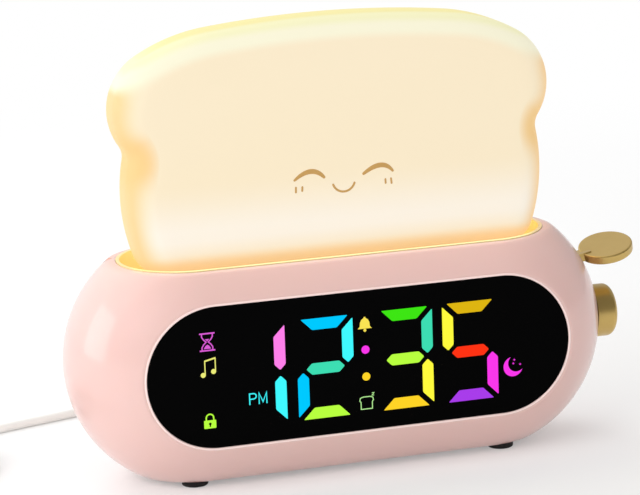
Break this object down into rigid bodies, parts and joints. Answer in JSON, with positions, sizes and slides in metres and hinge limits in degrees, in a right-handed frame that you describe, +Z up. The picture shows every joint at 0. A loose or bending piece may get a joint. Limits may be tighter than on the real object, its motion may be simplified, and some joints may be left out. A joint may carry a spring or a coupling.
{
  "type": "alarm clock",
  "caption": "Tabletop alarm clock with a wide digit display, a pressable slice-shaped night light in a top slot, a side lever, a push-turn knob and rear buttons.",
  "frame": {"origin": "middle of the clock's box without its lead, on the surface it stands on", "axes": "+X to the clock's right-hand end with the lever and knob, +Y to its rear, +Z up; the display faces -Y"},
  "size_m": [0.2724, 0.1204, 0.1486],
  "materials": {
    "pink_plastic": "glossy pale pink",
    "gold_plastic": "champagne gold coat",
    "gold_metallised": "satin metallised gold",
    "black_window": "gloss black acrylic",
    "black_plastic": "matt black",
    "white_plastic": "matt white",
    "milky_lens": "milky diffuser",
    "warm_silicone": "soft translucent silicone, lit warm from inside",
    "circuit_board": "green solder mask",
    "led_chip": "chip package",
    "spring_steel": "plated steel",
    "paper_cone": "coated paper",
    "ferrite": "sintered ferrite",
    "black_rubber": "matt rubber",
    "white_cable": "smooth soft sleeve"
  },
  "bodies": {
    "clock_body": {"front_shell": "pink_plastic", "rear_cover": "pink_plastic", "slot_liner": "gold_plastic", "display_window": "black_window", "segment_mask": "black_plastic", "digit_lenses": "milky_lens", "indicator_lenses": "milky_lens", "display_board": "circuit_board", "display_leds": "led_chip", "lamp_frame": "white_plastic", "lamp_springs": "spring_steel", "snooze_switch": "black_plastic", "lever_pin": "spring_steel", "lever_bracket": "white_plastic", "lever_spring": "spring_steel", "lever_switch": "black_plastic", "encoder_body": "black_plastic", "encoder_board": "circuit_board", "main_board": "circuit_board", "board_chips": "black_plastic", "button_switches": "black_plastic", "speaker_basket": "spring_steel", "speaker_cone": "paper_cone", "speaker_magnet": "ferrite", "coin_cell": "spring_steel", "power_jack": "black_plastic", "rubber_feet": "black_rubber", "case_screws": "spring_steel", "small_screws": "spring_steel", "power_plug": "white_cable", "cord_run": "white_cable", "cord_coil": "white_cable", "cord_tie": "black_plastic", "usb_plug": "white_cable"},
    "lamp": {"lamp_diffuser": "warm_silicone", "lamp_base": "white_plastic", "lamp_carriage": "white_plastic", "lamp_board": "circuit_board", "lamp_leds": "led_chip", "carriage_screws": "spring_steel"},
    "lever": {"side_lever": "gold_metallised"},
    "knob_push": {"encoder_plunger": "white_plastic"},
    "knob_turn": {"knob": "gold_metallised", "encoder_shaft": "white_plastic"},
    "cell_door": {"battery_door": "pink_plastic", "battery_door_screw": "spring_steel"},
    "button_clock_cap": {"button_clock": "pink_plastic"},
    "button_alarm_cap": {"button_alarm": "pink_plastic"},
    "button_light_cap": {"button_light": "pink_plastic"},
    "button_up_cap": {"button_up": "pink_plastic"},
    "button_down_cap": {"button_down": "pink_plastic"}
  },
  "joints": [
    {"name": "lamp_press", "type": "slide", "parent": "clock_body", "child": "lamp", "axis": [0, 0, -1], "range_m": [0, 0.002], "stiffness_N_per_m": 500, "springref_m": -0.005, "deforming": ["lamp_springs"]},
    {"name": "lever_press", "type": "hinge", "parent": "clock_body", "child": "lever", "pos_m": [0.06462, -0.0005, 0.049], "axis": [0, 1, 0], "range_deg": [0, 8], "stiffness_Nm_per_rad": 0.05, "springref_deg": -17.19},
    {"name": "knob_press", "type": "slide", "parent": "clock_body", "child": "knob_push", "axis": [-1, 0, 0], "range_m": [0, 0.0008], "stiffness_N_per_m": 1500, "springref_m": -0.001},
    {"name": "knob_turn", "type": "hinge", "parent": "knob_push", "child": "knob_turn", "pos_m": [0.08262, -0.0005, 0.0395], "axis": [1, 0, 0], "continuous": true},
    {"name": "button_clock_press", "type": "slide", "parent": "clock_body", "child": "button_clock_cap", "axis": [0, -1, 0], "range_m": [0, 0.0008], "stiffness_N_per_m": 1500, "springref_m": -0.001},
    {"name": "button_alarm_press", "type": "slide", "parent": "clock_body", "child": "button_alarm_cap", "axis": [0, -1, 0], "range_m": [0, 0.0008], "stiffness_N_per_m": 1500, "springref_m": -0.001},
    {"name": "button_light_press", "type": "slide", "parent": "clock_body", "child": "button_light_cap", "axis": [0, -1, 0], "range_m": [0, 0.0008], "stiffness_N_per_m": 1500, "springref_m": -0.001},
    {"name": "button_up_press", "type": "slide", "parent": "clock_body", "child": "button_up_cap", "axis": [0, -1, 0], "range_m": [0, 0.0008], "stiffness_N_per_m": 1500, "springref_m": -0.001},
    {"name": "button_down_press", "type": "slide", "parent": "clock_body", "child": "button_down_cap", "axis": [0, -1, 0], "range_m": [0, 0.0008], "stiffness_N_per_m": 1500, "springref_m": -0.001},
    {"name": "cell_door_lift", "type": "slide", "parent": "clock_body", "child": "cell_door", "axis": [0, 1, 0], "range_m": [0, 0.03]}
  ]
}
